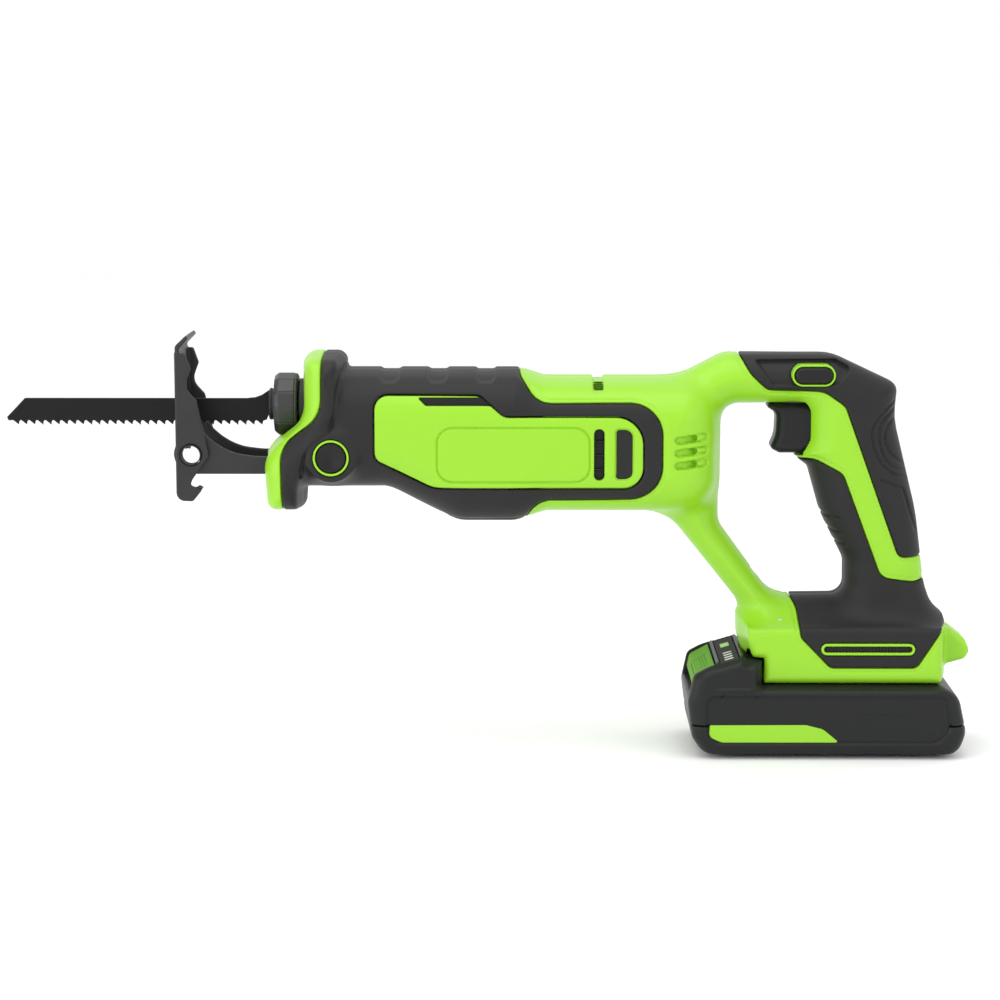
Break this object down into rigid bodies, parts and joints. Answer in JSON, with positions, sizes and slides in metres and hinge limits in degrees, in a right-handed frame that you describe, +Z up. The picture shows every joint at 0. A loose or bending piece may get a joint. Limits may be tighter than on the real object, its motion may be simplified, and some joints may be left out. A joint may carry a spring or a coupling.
{
  "type": "reciprocating saw",
  "caption": "Cordless reciprocating saw with a D-handle, rubber-sleeved barrel, pivoting steel shoe, twist blade clamp and slide-on battery.",
  "frame": {"origin": "under the middle of the tool, at the battery's bottom face", "axes": "+X from the blade to the rear of the tool, +Z up, +Y the tool's right-hand side"},
  "size_m": [0.432, 0.073, 0.1851],
  "materials": {
    "green_plastic": "satin moulded plastic",
    "dark_rubber": "fine-grained soft overmould",
    "dark_plastic": "fine-grained moulded plastic",
    "shoe_steel": "black oxide",
    "blade_steel": "black coated steel",
    "bright_steel": "machined",
    "cast_alloy": "as cast",
    "bronze": "machined",
    "copper": "lacquered winding on laminated iron",
    "circuit_board": "lacquered board",
    "cell_wrap": "shrink wrap over a light steel can",
    "gauge_film": "clear film over grey"
  },
  "bodies": {
    "tool": {"left_housing": "green_plastic", "right_housing": "green_plastic", "front_cover": "green_plastic", "release_ring": "green_plastic", "left_lock_ring": "green_plastic", "right_lock_ring": "green_plastic", "left_base_vent": "green_plastic", "right_base_vent": "green_plastic", "left_sleeve": "dark_rubber", "right_sleeve": "dark_rubber", "left_rear_grip": "dark_rubber", "right_rear_grip": "dark_rubber", "left_lower_grip": "dark_rubber", "right_lower_grip": "dark_rubber", "plunger_seal": "dark_rubber", "switch_module": "dark_plastic", "terminal_block": "dark_plastic", "front_motor_bearing": "bright_steel", "rear_motor_bearing": "bright_steel", "trigger_spring": "bright_steel", "barrel_screw": "bright_steel", "strut_screw": "bright_steel", "handle_screw": "bright_steel", "foot_screw": "bright_steel", "left_gear_case": "cast_alloy", "right_gear_case": "cast_alloy", "front_bushing": "bronze", "rear_bushing": "bronze", "stator": "copper", "controller_board": "circuit_board"},
    "rotor": {"rotor": "cast_alloy", "motor_shaft": "bright_steel", "pinion": "bright_steel", "fan": "dark_plastic"},
    "crank": {"crank_gear": "bright_steel", "crank_roller": "bright_steel", "crank_axle": "bright_steel"},
    "plunger": {"plunger": "bright_steel", "blade_holder": "shoe_steel"},
    "clamp_collar": {"clamp_collar": "dark_plastic"},
    "blade": {"blade": "blade_steel"},
    "shoe_arm": {"shoe_arm": "shoe_steel"},
    "shoe": {"shoe": "shoe_steel", "left_shoe_rivet": "shoe_steel", "right_shoe_rivet": "shoe_steel"},
    "shoe_release_button": {"shoe_release_button": "dark_plastic"},
    "trigger": {"trigger": "dark_plastic"},
    "lock_off_button": {"lock_off_button": "dark_plastic"},
    "battery": {"battery_lower_case": "dark_plastic", "battery_upper_case": "dark_plastic", "gauge_panel": "gauge_film", "cell_board": "circuit_board", "cell_1": "cell_wrap", "cell_2": "cell_wrap", "cell_3": "cell_wrap", "cell_4": "cell_wrap", "cell_5": "cell_wrap", "cell_6": "cell_wrap"},
    "battery_button": {"battery_button": "green_plastic"}
  },
  "joints": [
    {"name": "rotor_spin", "type": "hinge", "parent": "tool", "child": "rotor", "pos_m": [0, 0, 0.135], "axis": [1, 0, 0], "range_deg": [0, 1261]},
    {"name": "crank_spin", "type": "hinge", "parent": "tool", "child": "crank", "pos_m": [-0.02, 0, 0.127], "axis": [0, 0, 1], "range_deg": [0, 180.2]},
    {"name": "plunger_stroke", "type": "slide", "parent": "tool", "child": "plunger", "axis": [-1, 0, 0], "range_m": [0, 0.028]},
    {"name": "clamp_twist", "type": "hinge", "parent": "plunger", "child": "clamp_collar", "pos_m": [-0.09, 0, 0.1534], "axis": [-1, 0, 0], "range_deg": [0, 70], "stiffness_Nm_per_rad": 0.02},
    {"name": "blade_out", "type": "slide", "parent": "plunger", "child": "blade", "axis": [-1, 0, 0], "range_m": [0, 0.025]},
    {"name": "shoe_reach", "type": "slide", "parent": "tool", "child": "shoe_arm", "axis": [-1, 0, 0], "range_m": [0, 0.02]},
    {"name": "shoe_pivot", "type": "hinge", "parent": "shoe_arm", "child": "shoe", "pos_m": [-0.1318, 0, 0.1324], "axis": [0, 1, 0], "range_deg": [-30, 15]},
    {"name": "shoe_release_push", "type": "slide", "parent": "tool", "child": "shoe_release_button", "axis": [0, 1, 0], "range_m": [0, 0.003], "stiffness_N_per_m": 600},
    {"name": "trigger_pull", "type": "slide", "parent": "tool", "child": "trigger", "axis": [1, 0, 0], "range_m": [0, 0.006], "stiffness_N_per_m": 800, "deforming": ["trigger_spring"]},
    {"name": "lock_off_push", "type": "slide", "parent": "tool", "child": "lock_off_button", "axis": [0, 1, 0], "range_m": [-0.003, 0.003]},
    {"name": "battery_slide", "type": "slide", "parent": "tool", "child": "battery", "axis": [-1, 0, 0], "range_m": [0, 0.08]},
    {"name": "battery_button_push", "type": "slide", "parent": "battery", "child": "battery_button", "axis": [0, 0, -1], "range_m": [0, 0.003], "stiffness_N_per_m": 700}
  ],
  "couplings": [
    {"joint": "crank_spin", "follows": "plunger_stroke", "rad_per_m": 112.2},
    {"joint": "rotor_spin", "follows": "plunger_stroke", "rad_per_m": 785.4}
  ]
}
